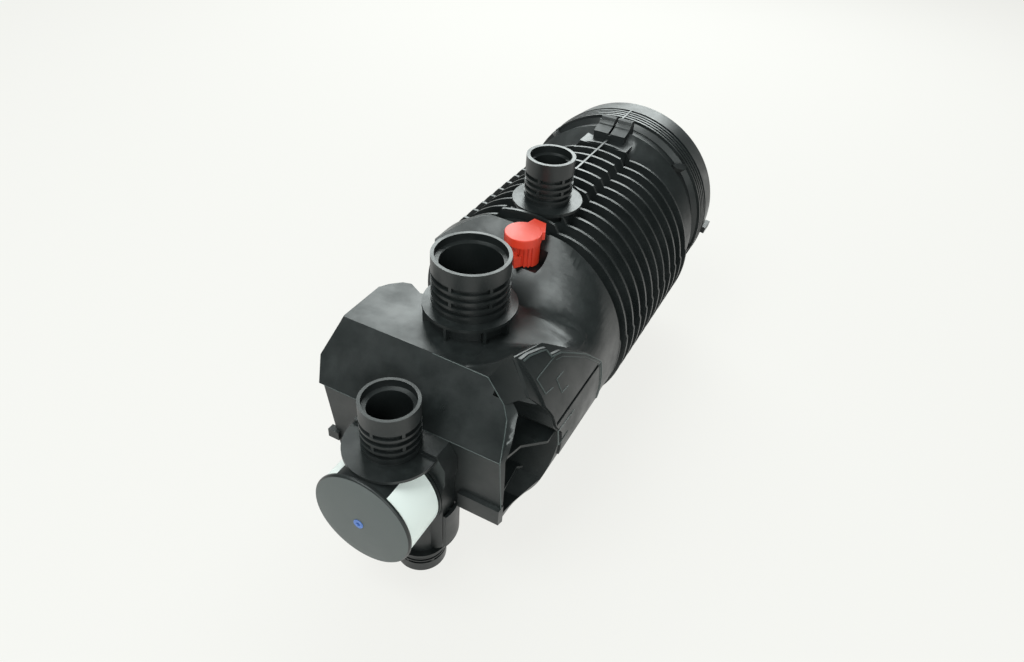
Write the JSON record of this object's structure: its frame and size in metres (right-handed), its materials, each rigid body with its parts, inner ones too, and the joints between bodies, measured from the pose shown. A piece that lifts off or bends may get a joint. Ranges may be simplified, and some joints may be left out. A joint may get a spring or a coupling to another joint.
{
  "type": "hydraulic filter",
  "caption": "In-line filter housing of moulded plastic with ringed hose stubs on top, a ribbed barrel, twist-off end cover, red quarter-turn cap and front diaphragm valve with drain stub.",
  "frame": {"origin": "centre of the main hose stub's rim", "axes": "+Y runs along the barrel from the front valve to the end cover, +Z out of the main hose stub, +X to the right seen from the front"},
  "size_m": [0.1995, 0.4976, 0.2568],
  "materials": {
    "housing": "moulded satin black",
    "drum": "moulded mid grey",
    "cap": "moulded orange red",
    "insert": "moulded blue",
    "label": "blank film label",
    "endcap": "moulded",
    "core": "moulded natural nylon",
    "paper": "pleated filter paper",
    "seal": "nitrile rubber",
    "spring": "spring wire"
  },
  "bodies": {
    "housing": {"front_housing": "housing", "rear_barrel": "housing", "element_front_cap": "endcap", "element_rear_cap": "endcap", "element_core": "core", "element_media": "paper", "element_seal": "seal", "bypass_cage": "core", "bypass_spring": "spring", "valve_body": "housing", "valve_cover": "drum", "indicator_ring": "insert", "label_right": "label", "label_left": "label", "diaphragm": "seal", "valve_spring": "spring", "valve_gasket": "seal"},
    "cover": {"end_cover": "housing", "cover_seal": "seal"},
    "cap": {"vent_cap": "cap", "vent_cap_seal": "seal"},
    "bypass": {"bypass_poppet": "core"},
    "plate": {"diaphragm_plate": "core"}
  },
  "joints": [
    {"name": "cover_turn", "type": "hinge", "parent": "housing", "child": "cover", "pos_m": [0, 0.32, -0.0991], "axis": [0, 1, 0], "range_deg": [0, 25]},
    {"name": "cap_turn", "type": "hinge", "parent": "housing", "child": "cap", "pos_m": [0.0122, 0.0657, -0.0191], "axis": [0, 0, 1], "range_deg": [0, 90]},
    {"name": "bypass_lift", "type": "slide", "parent": "housing", "child": "bypass", "axis": [0, -1, 0], "range_m": [0, 0.006], "stiffness_N_per_m": 600, "springref_m": -0.01, "deforming": ["bypass_spring"]},
    {"name": "valve_close", "type": "slide", "parent": "housing", "child": "plate", "axis": [0, 1, 0], "range_m": [0, 0.005], "stiffness_N_per_m": 300, "springref_m": -0.005, "deforming": ["valve_spring", "diaphragm"]}
  ]
}
